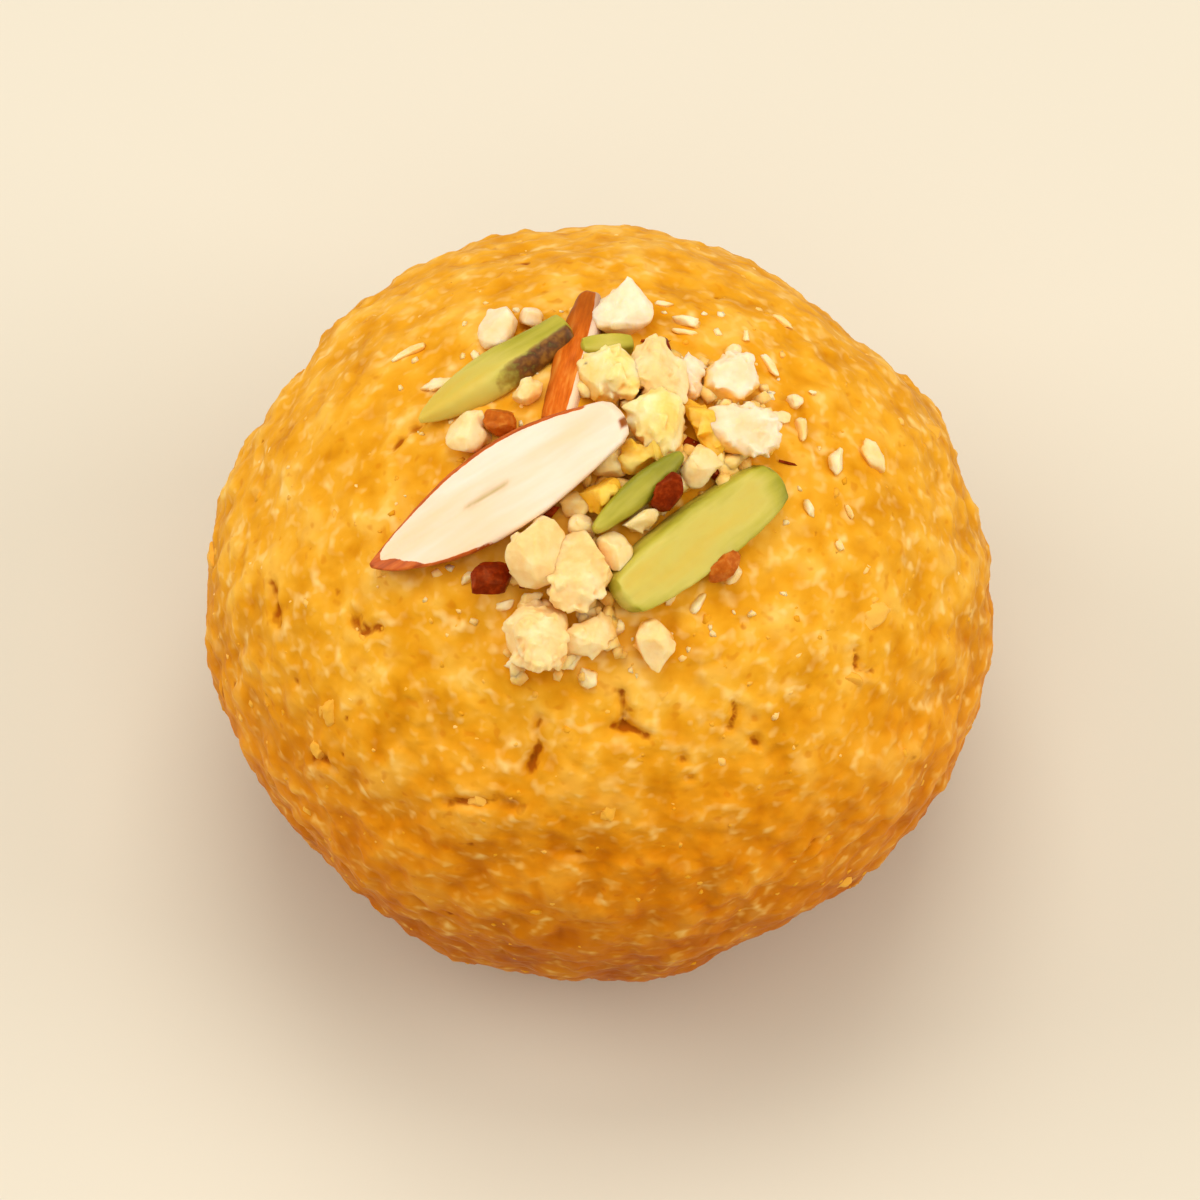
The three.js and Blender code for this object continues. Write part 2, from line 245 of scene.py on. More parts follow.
# Cut almond with its brown skin left on the rim: waxy cream flesh with faint lines along its
# length, and a thin papery skin with fine wrinkles. "skin" is in millimetres, above zero under
# the skin, "scorch" is how far roasting has browned the nut, "slit" is one in the seam between
# the seed's halves, and "lengthwise" is the place, squeezed along the nut.
def makeAlmondMaterial(name, skinTones, roughness=0.42, shine="ffffff"):
    material, add, skin, scorch, slit = newMaterial(name, "skin", "scorch", "slit")
    place = add("TexCoord").outputs["Object"]
    along = add("Attribute", {"attribute_name": "lengthwise"}).outputs["Vector"]
    soft = add("TexNoise", {"Vector": along, "Scale": perMetre(1.6), "Detail": 3.0})
    flesh = add("ValToRGB", {
        "Fac": soft, "stops": [(0.3, "f2d9b8"), (0.5, "f7e1ce"), (0.7, "fbece4")]})
    wrinkles = add("TexNoise", {
        "Vector": along, "Scale": perMetre(0.5), "Detail": 3.0, "Roughness": 0.6})
    peel = add("ValToRGB", {"Fac": wrinkles, "stops": list(zip((0.3, 0.5, 0.7), skinTones))})
    ragged = add("TexNoise", {"Vector": place, "Scale": perMetre(0.45), "Detail": 2.0})
    edge = add("Math", {"operation": "MULTIPLY_ADD", 0: ragged, 1: 0.3, 2: skin})
    skinMask = add("MapRange", {"Value": edge, "From Min": 0.12, "From Max": 0.18})
    skinned = add("Mix", {"data_type": "RGBA", 0: skinMask, 6: flesh, 7: peel})
    scorched = add("Mix", {"data_type": "RGBA", 0: scorch, 6: skinned, 7: "96500e"})
    slitted = add("Mix", {"data_type": "RGBA", 0: slit, 6: scorched, 7: "b7a04a"})
    shader = {
        "Roughness": roughness, "Specular IOR Level": 0.35, "Specular Tint": shine,
        "Subsurface Weight": 0.2, "Subsurface Radius": (1.0, 0.7, 0.4),
        "Subsurface Scale": 0.8 * mm}
    endMaterial(add, shader, slitted, wrinkles, 0.35, 0.08)
    return material


# Cut pistachio: pale yellow-green and waxy inside, greener towards the outside of the kernel,
# with a dark olive skin. "green" goes from 0 inside to 1 outside, and "peel" is one on the skin.
def makePistachioMaterial():
    material, add, green, peel = newMaterial("cut pistachio kernel", "green", "peel")
    place = add("TexCoord").outputs["Object"]
    along = add("Attribute", {"attribute_name": "lengthwise"}).outputs["Vector"]
    soft = add("TexNoise", {"Vector": along, "Scale": perMetre(1.2), "Detail": 3.0})
    depth = add("Math", {"operation": "MULTIPLY_ADD", 0: soft, 1: 0.7, 2: green})
    tone = add("ValToRGB", {"Fac": depth, "stops": [
        (0.3, "d6be50"), (0.5, "d0c662"), (0.66, "bcb644"), (0.82, "a09e28"), (1.0, "787c18")]})
    ragged = add("TexNoise", {"Vector": place, "Scale": perMetre(0.6), "Detail": 2.0})
    edge = add("Math", {"operation": "MULTIPLY_ADD", 0: ragged, 1: 0.9, 2: peel})
    peelMask = add("MapRange", {"Value": edge, "From Min": 0.95, "From Max": 1.35})
    peelTone = add("ValToRGB", {
        "Fac": ragged, "stops": [(0.35, "4e2c08"), (0.5, "70440c"), (0.65, "8e6218")]})
    peeled = add("Mix", {"data_type": "RGBA", 0: peelMask, 6: tone, 7: peelTone})
    shader = {
        "Roughness": 0.42, "Specular IOR Level": 0.35, "Subsurface Weight": 0.35,
        "Subsurface Radius": (0.8, 0.8, 0.25), "Subsurface Scale": 1.0 * mm}
    endMaterial(add, shader, peeled, soft, 0.3, 0.1)
    return material


# Chopped cashew: dense, cream, slightly mealy where it broke, and amber where ghee has soaked
# up from the paste; the same amber is painted shade on its sides and in its cracks. "height" is
# how far a spot stands above the ball, in millimetres and less on the sides to paint shade there,
# and "crevice" is one deep in a crack. The ghee has soaked up to soakTop, in millimetres, and glow
# is how deep light goes in.
def makeCashewMaterial(name, tones, soakTop, soakAndShadeColour, glow=1.1):
    material, add, height, crevice = newMaterial(name, "height", "crevice")
    place = add("TexCoord").outputs["Object"]
    cloud = add("TexNoise", {"Vector": place, "Scale": perMetre(1.5), "Detail": 3.0})
    body = add("ValToRGB", {"Fac": cloud, "stops": list(zip((0.32, 0.5, 0.68), tones))})
    level = add("Math", {"operation": "MULTIPLY_ADD", 0: cloud, 1: 1.6, 2: height})
    soak = add("MapRange", {
        "Value": level, "From Min": soakTop, "From Max": soakTop + 1.2,
        "To Min": 0.85, "To Max": 0.0})
    # painted shade: the amber also fills the cracks, and the sides through "height"
    soakAndShade = add("Math", {"operation": "MAXIMUM", 0: soak, 1: crevice})
    soaked = add("Mix", {"data_type": "RGBA", 0: soakAndShade, 6: body, 7: soakAndShadeColour})
    grain = add("TexNoise", {"Vector": place, "Scale": perMetre(0.3), "Detail": 2.0})
    shader = {
        "Roughness": 0.5, "Specular IOR Level": 0.3, "Subsurface Weight": 0.6,
        "Subsurface Radius": (0.8, 0.7, 0.3), "Subsurface Scale": glow * mm}
    endMaterial(add, shader, soaked, grain, 0.4, 0.1)
    return material


cashewTones = ["f6d9ae", "fbe4c8", "fff0de"]
pasteMaterial = makePasteMaterial()
gritMaterial = makeGritMaterial()
almondMaterial = makeAlmondMaterial("blanched almond flesh", ["9c420c", "c65c14", "dc7c2c"])
skinMaterial = makeAlmondMaterial(
    "papery almond skin", ["b4500c", "da6e18", "ee983e"], 0.34, "ffc890")
darkSkinMaterial = makeAlmondMaterial(
    "dark almond skin", ["641a04", "782204", "94340c"], 0.26, "ff9c5c")
pistachioMaterial = makePistachioMaterial()
cashewMaterial = makeCashewMaterial("chopped cashew", cashewTones, 0.6, "f0b44c")
rimmedMaterial = makeCashewMaterial("ghee-edged cashew", cashewTones, 1.4, "f6b818")
toastedMaterial = makeCashewMaterial(
    "toasted cashew", ["f4cc88", "fada9e", "fde7ba"], 0.9, "eca83a")
soakedMaterial = makeCashewMaterial(
    "ghee-soaked cashew", ["fcda7c", "ffe8a4", "fff4cc"], 0.95, "f4ac24")
goldenMaterial = makeCashewMaterial(
    "golden ghee-soaked cashew", ["f4be38", "fad260", "fee28c"], 1.7, "f2b010")
crumbMaterial = makeCashewMaterial(
    "fine cashew crumb", ["fadc9c", "fce8b8", "fff2d4"], 0.9, "f4b848", 0.3)
heapCrumbMaterial = makeCashewMaterial(
    "soaked cashew crumb", ["fad27c", "fce09a", "fdeebe"], 0.7, "f2b43c", 0.4)
print("materials made")

ballPlan = {
    "radius": 25,
    "rise": 20,          # half height before the underside is pressed flat
    "press": 1,          # depth of the flat patch
    "rows": 126,         # rows of faces across each side of the starting cube
    "closer": (0.0, -0.12, 0.22),  # how far the rows are drawn up to the crown and the front
    "hollows": [         # bearing, rise, spread in degrees, and depth
        (47, 18, 13, 1.6), (-56, -20, 15, 1.3), (-138, -17, 22, 0.8), (147, 13, 11, 0.6),
        (17, 7, 9, 0.5), (-18, -8, 11, 0.5), (-90, 25, 24, 0.4), (92, -25, 26, 0.5)],
    "lumps": 220,
    "lumpSpread": 7,
    "lumpHeight": 0.3,
    "skin": 0.1,         # the paste's relief starts this far inside the frame's ball
}
reliefPlan = {
    # the size across and the height of each part of the paste's relief
    "waves": (3.2, 0.2),
    "grains": (1.3, 0.12),
    "clusters": (3.2, 0.16),
    "fine": (0.7, 0.05),
    "drift": (1.4, 0.3),  # size and strength of what pulls the grains out of shape
    "dent": 0.4,         # width of the dents between grains, as a share of a grain
    "crumbling": (15, 5),  # heights over the middle where it starts and where it is full
    "patches": (3.4, 0.5),  # size and strength of the soft patches of tone
    "tone": 0.46,        # the middle tone
    # painted shade: the next value makes the tone paler on lumps and darker in dents
    "reliefShade": 1.3,     # how much paler it gets for each millimetre of relief
}
crackPlan = {
    # bearing and rise of the corners of each crack
    "placed": [
        [(-85.4, 47.6), (-84.2, 49.8), (-85.0, 52.6)],
        [(-85.4, 47.6), (-82.6, 46.6), (-80.4, 45.8)],
        [(-102.6, 47.8), (-103.1, 45.7), (-102.0, 43.4), (-103.0, 41.0), (-103.6, 38.6)],
        [(-104.3, 32.9), (-107.0, 33.2), (-110.6, 31.8), (-115.7, 29.6)],
        [(-61.0, 46.8), (-61.6, 44.6), (-63.8, 42.9)],
        [(-60.4, 39.6), (-59.6, 38.4)],
        [(-74.2, 40.9), (-74.0, 40.4)],
        [(-74.6, 37.4), (-73.9, 37.0)],
        [(-150.5, 45.0), (-147.0, 44.6), (-144.3, 47.3)],
        [(-33.3, 40.2), (-35.6, 37.6), (-33.8, 35.4)],
    ],
    "pits": [            # bearing, rise, reach and depth
        (-85.4, 47.2, 0.8, 0.5), (-102.9, 41.2, 0.5, 0.3), (-104.3, 32.9, 0.6, 0.3),
        (-146.0, 45.6, 0.7, 0.3)],
    "strayed": 9,        # further short cracks all round
    "strayedPits": 60,   # and small open pits
    "steps": 3,
    "stepLength": 1.1,
    "width": 0.27,
    "depth": 0.28,
    "ragged": (0.8, 0.22),  # size of the raggedness of the edges, and how far they wander
    "lip": 0.08,         # height of the crumbled lips, this far from the crack
    "lipReach": 0.7,
    # painted shade: the next value spreads the brown of the cracks round each pit
    "pitShade": 0.35,    # a pit counts as this far from a crack at its rim
}
goldenAngle = math.pi * (3 - math.sqrt(5))
ballSize = np.array([ballPlan["radius"], ballPlan["radius"], ballPlan["rise"]])
ballMiddle = np.array([0, 0, ballPlan["rise"] - ballPlan["press"]])


def bearingOf(bearing, rise):
    bearing, rise = math.radians(bearing), math.radians(rise)
    level = math.cos(rise)
    return np.array([level * math.cos(bearing), level * math.sin(bearing), math.sin(rise)])


# One of a number of directions spread evenly all round.
def spreadDirection(i, count, start=0.0):
    up = 1 - (2 * i + 1) / count
    level = math.sqrt(1 - up * up)
    angle = start + i * goldenAngle
    return np.array([level * math.cos(angle), level * math.sin(angle), up])


def anyDirection(dice):
    return Vector([dice.gauss(0, 1) for _ in range(3)]).normalized()


def swell(directions, axis, spread):
    angle = np.arccos(np.clip(directions @ axis, -1, 1))
    return np.exp(-(angle / math.radians(spread)) ** 2)


# Corners of every crack, as directions: the placed ones, then short seeded walks.
def crackLines():
    plan = crackPlan
    lines = [[bearingOf(*corner) for corner in corners] for corners in plan["placed"]]
    dice = random.Random(5)
    for _ in range(plan["strayed"]):
        here = anyDirection(dice)
        heading = here.orthogonal().normalized()
        heading.rotate(Matrix.Rotation(dice.uniform(0, 2 * math.pi), 3, here))
        line = [np.array(here)]
        for _ in range(dice.randint(1, plan["steps"])):
            heading.rotate(Matrix.Rotation(math.radians(dice.uniform(-55, 55)), 3, here))
            step = plan["stepLength"] * dice.uniform(0.5, 1.2) / ballPlan["radius"]
            here = (here + heading * step).normalized()
            line.append(np.array(here))
        lines.append(line)
    return lines


# Distance in mm from each direction to the nearest crack.
def crackGaps(directions):
    nearest = np.full(len(directions), 9.0)
    for line in crackLines():
        for start, end in zip(line, line[1:]):
            span = end - start
            share = np.clip((directions - start) @ span / (span @ span), 0, 1)
            gap = np.linalg.norm(directions - start - share[:, None] * span, axis=1)
            nearest = np.minimum(nearest, gap * ballPlan["radius"])
    return nearest


# What cracks and pits do to the height, the gap to the nearest of them, both in mm, and the
# share of a crumbled lip.
def crackRelief(directions, places):
    plan = crackPlan
    size, reach = plan["ragged"]
    ragged = np.array([noise.noise(Vector(place) / size) for place in places])
    gaps = np.maximum(crackGaps(directions) + reach * ragged, 0)
    lips = np.exp(-((gaps - plan["lipReach"]) / plan["width"]) ** 2)
    height = plan["lip"] * lips - plan["depth"] * np.exp(-(gaps / plan["width"]) ** 2)
    dice = random.Random(6)
    strayed = [(dice.uniform(-180, 180), dice.uniform(-25, 62), dice.uniform(0.2, 0.4),
                dice.uniform(0.15, 0.3)) for _ in range(plan["strayedPits"])]
    for bearing, rise, reach, depth in plan["pits"] + strayed:
        gap = np.linalg.norm(directions - bearingOf(bearing, rise), axis=1) * ballPlan["radius"]
        height -= depth * np.exp(-(gap / reach) ** 2)
        gaps = np.minimum(gaps, gap / reach * plan["pitShade"])
    return height, gaps, lips


# The paste's relief in mm: soft waves, pressed grains with dents between them, fine grit, and
# below the crown clusters that are starting to crumble apart.
# With it comes the tone that the material reads: a soft drift, with painted shade that makes it
# lighter on lumps than in dents.
def pasteRelief(places):
    plan = reliefPlan
    relief, broad = np.empty(len(places)), np.empty(len(places))
    crumbling = smoothStep(*plan["crumbling"], places[:, 2])
    (waves, waveHeight), (grains, grainHeight) = plan["waves"], plan["grains"]
    (clusters, clusterHeight), (fineSize, fineHeight) = plan["clusters"], plan["fine"]
    for i, place in enumerate(places):
        spot, crumbled = Vector(place), crumbling[i]
        wave = noise.fractal(spot / waves, 0.8, 2.0, 3) * waveHeight * (1 + crumbled)
        drift = noise.noise_vector(spot / plan["drift"][0]) * plan["drift"][1]
        reaches, cells = noise.voronoi((spot + drift) / grains)
        grain = min((reaches[1] - reaches[0]) / plan["dent"], 1.0)
        grain *= 0.02 + grainHeight * noise.cell(cells[0] * 9.7)
        reaches = noise.voronoi((spot + 2 * drift) / clusters)[0]
        cluster = min((reaches[1] - reaches[0]) / plan["dent"], 1.0) * clusterHeight * crumbled
        fine = noise.noise((spot + drift) / fineSize) * fineHeight
        relief[i] = wave + grain + cluster + fine
        patch = noise.fractal(spot / plan["patches"][0] + Vector((9, 4, 2)), 0.8, 2.0, 3)
        broad[i] = plan["tone"] + plan["patches"][1] * patch
        # painted shade: paler on lumps and clusters, darker in the dents
        broad[i] += plan["reliefShade"] * (wave + grain + 2 * cluster - 0.28 * crumbled)
    return relief, broad


def makeBall():
    plan = ballPlan
    bm = bmesh.new()
    bmesh.ops.create_cube(bm, size=2)
    bmesh.ops.subdivide_edges(bm, edges=bm.edges, cuts=plan["rows"] - 1, use_grid_fill=True)
    mesh = meshFrom(bm, "ladoo_paste")
    directions = unitRows(np.tan(vertexPlaces(mesh) * math.pi / 4))
    directions = unitRows(directions + plan["closer"])

    height = np.full(len(directions), -plan["skin"])
    for i in range(plan["lumps"]):
        swelling = swell(directions, spreadDirection(i, plan["lumps"]), plan["lumpSpread"])
        height += plan["lumpHeight"] * math.sin(i * i * 0.7 + i) * swelling
    for bearing, rise, spread, depth in plan["hollows"]:
        height -= depth * swell(directions, bearingOf(bearing, rise), spread)

    places = directions * ballSize
    relief, broad = pasteRelief(places)
    cracks, gaps, lips = crackRelief(directions, places)
    height += relief + cracks
    places += unitRows(directions / ballSize) * height[:, None] + ballMiddle
    low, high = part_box("ladoo")
    setVertexPlaces(mesh, np.clip(places * mm, np.array(low), np.array(high)))
    storeValues(mesh, "crackGap", gaps)
    storeValues(mesh, "broad", broad + 0.2 * lips)
    return finishPiece("ladoo_paste", mesh, pasteMaterial, ["ladoo"])


ball = makeBall()
ballTree = BVHTree.FromObject(ball, bpy.context.evaluated_depsgraph_get())
print("ball of paste made")


# Height in mm over the smooth ball, and the outward direction there.
def overBall(places):
    away = np.atleast_2d(places) / mm - ballMiddle
    level = np.linalg.norm(away / ballSize, axis=1)
    return (level - 1) * np.linalg.norm(away, axis=1) / level, unitRows(away / ballSize ** 2)


# How a frame node lies: X along its length towards the east, Z away from the ball, and half
# its length, width and thickness.
def lieOf(node):
    places = vertexPlaces(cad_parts[node].data)
    spread = places - places.mean(0)
    outward = overBall(places.mean(0))[1][0]
    along = np.linalg.svd(spread, full_matrices=False)[2][0]
    along = along if along[0] + 0.4 * along[1] > 0 else -along
    across = np.cross(outward, along)
    across /= np.linalg.norm(across)
    basis = np.array([along, across, np.cross(along, across)]).T
    local = places @ basis
    low, high = local.min(0), local.max(0)
    lie = Matrix(basis.tolist()).to_4x4()
    lie.translation = Vector(basis @ ((low + high) / 2))
    return lie, (high - low) / 2


# Long nuts. "ends" are the two ends' shares of the full width, "belly" fills the outline out,
# "thin" is the same as "ends" for the thickness, "skew" moves the widest place of each side
# along, "corner" squares the section, "lean" slants its sides and "roll" turns it about its
# length. "ragged" is how uneven it is, and "grow" how far it stands out from its frame node.
longNuts = {
    "almond_slice": {
        "ends": (0.06, 0.4), "thin": (0.5, 0.6), "belly": 0.82, "skew": (0.94, 1.25), "corner": 9,
        "lean": -0.45, "roll": 0, "ragged": 0.05, "grow": 0.04},
    "almond_sliver": {
        "ends": (0.75, 0.4), "thin": (0.7, 0.5), "belly": 0.5, "skew": (1.0, 1.0), "corner": 4,
        "lean": 0, "roll": -8, "ragged": 0.07, "grow": 0.08},
    "pistachio_right": {
        "ends": (0.5, 0.42), "thin": (0.6, 0.6), "belly": 0.5, "skew": (1.1, 0.9), "corner": 8,
        "lean": -0.3, "roll": 6, "ragged": 0.09, "grow": 0.08},
    "pistachio_left": {
        "ends": (0.06, 0.6), "thin": (0.1, 0.7), "belly": 0.85, "skew": (1.0, 1.0), "corner": 3.5,
        "lean": 0.3, "roll": -14, "ragged": 0.06, "grow": 0.08},
    "pistachio_middle": {
        "ends": (0.25, 0.3), "thin": (0.3, 0.4), "belly": 0.7, "skew": (1.0, 1.0), "corner": 3,
        "lean": 0.2, "roll": 20, "ragged": 0.05, "grow": 0.08},
    "pistachio_back": {
        "ends": (0.6, 0.5), "thin": (0.6, 0.6), "belly": 0.6, "skew": (1.0, 1.0), "corner": 4,
        "lean": 0, "roll": 0, "ragged": 0.05, "grow": -0.2},
}
slabCuts = (72, 22, 8)   # cuts along the length, the width and the thickness


def makeSlab(name):
    bm = bmesh.new()
    bmesh.ops.create_cube(bm, size=2)
    for axis, cuts in enumerate(slabCuts):
        edges = [edge for edge in bm.edges
                 if abs(edge.verts[0].co[axis] - edge.verts[1].co[axis]) > 0.01]
        bmesh.ops.subdivide_edges(bm, edges=edges, cuts=cuts)
    return meshFrom(bm, name)


# Shapes a long nut, lying along X in millimetres. "slab" says where each vertex is on the
# unit slab, and "fill" how much of the full width there is.
def shapeNut(node):
    plan = longNuts[node]
    lie, half = lieOf(node)
    half = half / mm + plan["grow"]
    mesh = makeSlab(node)
    u, v, w = vertexPlaces(mesh).T
    corner = plan["corner"]
    reach = (abs(v) ** corner + abs(w) ** corner) ** (1 / corner)
    squeeze = np.maximum(abs(v), abs(w)) / np.maximum(reach, 1e-6)
    v, w = v * squeeze, w * squeeze
    share = (u + 1) / 2
    endShare = plan["ends"][0] + (plan["ends"][1] - plan["ends"][0]) * share
    skewed = share ** np.where(v > 0, plan["skew"][1], plan["skew"][0])
    fill = endShare + (1 - endShare) * np.sin(math.pi * skewed) ** plan["belly"]
    thin = plan["thin"][0] + (plan["thin"][1] - plan["thin"][0]) * share
    up = half[2] * w * (thin + (1 - thin) * fill)
    across = half[1] * v * fill + plan["lean"] * up
    along = half[0] * u
    # round the blunt ends a little
    blunt = 0.25 * endShare * half[1] * (v ** 2 + w ** 2)
    along -= np.sign(u) * smoothStep(0.9, 1.0, abs(u)) * blunt
    places = np.array([along, across, up]).T
    places = places @ np.array(Matrix.Rotation(math.radians(plan["roll"]), 3, "X")).T
    for i, place in enumerate(places):
        spot = Vector(place)
        uneven = noise.noise_vector(spot / 1.6) + 0.5 * noise.noise_vector(spot / 0.5)
        places[i] += plan["ragged"] * uneven
    return {"node": node, "mesh": mesh, "lie": lie, "half": half, "places": places,
            "slab": (u, v, w), "fill": fill}


def finishNut(nut, material):
    mesh, places = nut["mesh"], nut["places"]
    storeValues(mesh, "lengthwise", places * mm * (0.18, 1, 1))
    setVertexPlaces(mesh, places * mm)
    mesh.transform(nut["lie"])
    finishPiece(nut["node"] + "_cut", mesh, material, [nut["node"]])


# The long flat slice: skin on its rim, a ragged patch at the tip, and a slit in the middle.
def makeAlmondSlice():
    nut = shapeNut("almond_slice")
    mesh, places, half, (u, v, w) = nut["mesh"], nut["places"], nut["half"], nut["slab"]
    onTop = (1 - abs(v)) * half[1] * nut["fill"]
    edgeGap = np.where(abs(w) > 0.93, onTop, -0.2 * (0.93 - abs(w)))
    edgeGap = np.minimum(edgeGap, half[0] * (1 - abs(u)) + 0.1)
    tip = smoothStep(-0.55, -0.95, u)
    lower = smoothStep(0.1, -0.3, v)
    band = 0.1 + 1.1 * tip * lower + 1.5 * smoothStep(-0.87, -1.0, u)
    band -= 0.35 * smoothStep(-0.4, 0.1, u) * lower
    band -= 0.4 * smoothStep(0.75, 0.9, u)
    storeValues(mesh, "skin", band - edgeGap)
    slitGap = abs(places[:, 1] + 0.25 + 0.05 * np.sin(places[:, 0] * 3))
    slitLength = smoothStep(1.9, 1.2, abs(places[:, 0] + 0.6)) * (w > 0.9)
    slit = slitLength * np.exp(-(slitGap / 0.16) ** 2)
    places[:, 2] -= 0.18 * slit
    storeValues(mesh, "slit", 0.7 * slit)
    storeValues(mesh, "scorch", smoothStep(0.97, 0.985, u) * smoothStep(0.35, 0.15, abs(v + 0.3)))
    finishNut(nut, almondMaterial)


# The sliver lies with its skin up, and shows cut flesh down its right side.
def makeAlmondSliver():
    nut = shapeNut("almond_sliver")
    mesh, places, (u, v, w) = nut["mesh"], nut["places"], nut["slab"]
    places[:, 2] += 0.05 * np.sin(places[:, 1] * 6 + np.sin(places[:, 0])) * (w > 0)
    rightward = v * (1 if nut["lie"].col[1][0] > 0 else -1)
    storeValues(mesh, "skin", 0.6 + 0.2 * w - 1.6 * smoothStep(0.56, 0.72, rightward))
    storeValues(mesh, "scorch", 0.6 * smoothStep(0.0, 0.9, u)
                + 0.45 * smoothStep(-0.4, -0.9, rightward))
    finishNut(nut, skinMaterial)


# How green each pistachio is along its length, u, and across its width, v, from -1 to 1.
pistachioGreens = {
    "pistachio_right": lambda u, v: 0.08 + 0.2 * smoothStep(0.4, 1.0, abs(v))
    + 0.35 * smoothStep(0.65, 1.0, u) + 0.15 * smoothStep(-0.85, -1.0, u),
    "pistachio_left": lambda u, v: -0.02 + 0.4 * smoothStep(-0.7, 0.9, u)
    + 0.1 * smoothStep(0.6, 1.0, abs(v)),
    "pistachio_middle": lambda u, v: 0.42 + 0.15 * smoothStep(0.2, 0.9, v) + 0.1 * u,
    "pistachio_back": lambda u, v: 0.2 + 0.2 * abs(u),
}


def makePistachio(node):
    nut = shapeNut(node)
    u, v = nut["slab"][:2]
    peel = smoothStep(-0.55, -0.95, v) * smoothStep(-0.5, 0.4, u)
    storeValues(nut["mesh"], "green", pistachioGreens[node](u, v))
    storeValues(nut["mesh"], "peel", peel * (node == "pistachio_left"))
    finishNut(nut, pistachioMaterial)


makeAlmondSlice()
makeAlmondSliver()
for node in pistachioGreens:
    makePistachio(node)
print("long nuts made")

# Broken bits are balls with flats struck off. Shards are sharp hulls of scattered corners.
bitPlan = {
    "flats": 8,
    "flatReach": (0.5, 0.9),  # how far out the flats lie, where 1 is the ball
    "dents": [(1.9, 0.2), (5, 0.1)],  # dents for each radius along, and their depth
    "scatter": 0.45,     # how far a shard's corners stray
}


# Where a bit stands over a spot, which is a place and its outward direction. The matrix takes
# a ball of radius 1 to the bit's size and stance.
def standing(spot, lift, turn, size):
    place, outward = spot
    across = outward.cross(Vector(bearingOf(turn, 0))).normalized()
    stance = Matrix((across.cross(outward), across, outward)).transposed()
    return place + outward * lift * mm, stance @ Matrix.Diagonal(size) * (mm / 2)


# Adds one small broken bit to a mesh.
def addBit(bm, dice, spot, lift, turn, size, detail=3):
    place, stance = standing(spot, lift, turn, size)
    flats = [(anyDirection(dice), dice.uniform(*bitPlan["flatReach"]))
             for _ in range(bitPlan["flats"])]
    made = bmesh.ops.create_icosphere(bm, subdivisions=detail, radius=1)
    for vert in made["verts"]:
        point = vert.co.copy()
        for normal, reach in flats:
            point -= normal * max(point.dot(normal) - reach, 0)
        point *= 1 + sum(depth * noise.noise(point * rate + place / mm)
                         for rate, depth in bitPlan["dents"])
        vert.co = place + stance @ point
    return made["verts"]


# Adds one sharp broken shard to a mesh.
def addShard(bm, dice, spot, lift, turn, size, corners):
    place, stance = standing(spot, lift, turn, size)
    start = dice.uniform(0, 2 * math.pi)
    verts = []
    for i in range(corners):
        scatter = Vector([dice.uniform(-1, 1) for _ in range(3)]) * bitPlan["scatter"]
        corner = (Vector(spreadDirection(i, corners, start)) + scatter).normalized()
        verts.append(bm.verts.new(place + stance @ corner))
    bmesh.ops.convex_hull(bm, input=verts)
    return verts


# Chopped bits. Each is a closed copy of its frame node with sharp shards joined to it and flat
# faces struck off. Each row: shards on each square millimetre, their width, the number of flats,
# the final size against the frame's, and the height of the fine bumps.
choppedKinds = {
    "crumbly": (2.4, (0.4, 1.3), 1, 1.17, 0.03),
    "cut": (0.4, (0.8, 1.5), 6, 1.16, 0.03),
    "round": (0.2, (0.8, 1.2), 2, 1.14, 0.02),
    "soaked": (1.6, (0.6, 1.9), 2, 1.2, 0.03),
    "skin": (0.1, (0.7, 1.2), 8, 1.04, 0.03),
}
choppedPlan = {
    "voxel": 0.08,
    "shardSunk": 0.22,   # how deep a shard's middle sits, as a share of its width
    "softening": 3,      # rounds of smoothing
    "flatReach": (0.6, 0.85),
    "ruffle": 0.5,       # distance between the fine bumps
}
# Each row: kind, material, slot and nodes.
choppedNuts = [
    ("crumbly", toastedMaterial, "cashew", [
        "cashew_front", "cashew_middle", "cashew_low_front", "cashew_ridged"]),
    ("crumbly", rimmedMaterial, "cashew", ["cashew_far_right", "cashew_right"]),
    ("crumbly", cashewMaterial, "cashew", ["cashew_crumb_back"]),
    ("cut", cashewMaterial, "cashew", ["cashew_peak"]),
    ("cut", toastedMaterial, "cashew", [
        "cashew_alone", "cashew_between", "cashew_inner_right", "cashew_crumb_low"]),
    ("cut", cashewMaterial, "almond", ["almond_crumb_left"]),
    ("cut", toastedMaterial, "almond", [
        "cashew_left", "cashew_by_pistachio", "almond_crumb_gap"]),
    ("round", cashewMaterial, "cashew", ["cashew_lone_left"]),
    ("round", toastedMaterial, "cashew", ["cashew_under_slice"]),
    ("soaked", soakedMaterial, "cashew_inner", ["cashew_yellow_back", "cashew_yellow_middle"]),
    ("soaked", goldenMaterial, "cashew_inner", [
        "cashew_yellow_right", "cashew_yellow_low", "cashew_beside_slice"]),
    ("skin", darkSkinMaterial, "almond_skin", [
        "skin_bit_front", "skin_bit_middle", "skin_bit_back"]),
    ("skin", skinMaterial, "almond_skin", ["skin_bit_left", "skin_bit_right"]),
]
# Pointed bits: the way the point goes, and how much narrower it is than the foot.
points = {"cashew_peak": ((0.1, 0.75, 0.66), 0.85), "cashew_alone": ((0.25, -0.9, -0.3), 0.6)}


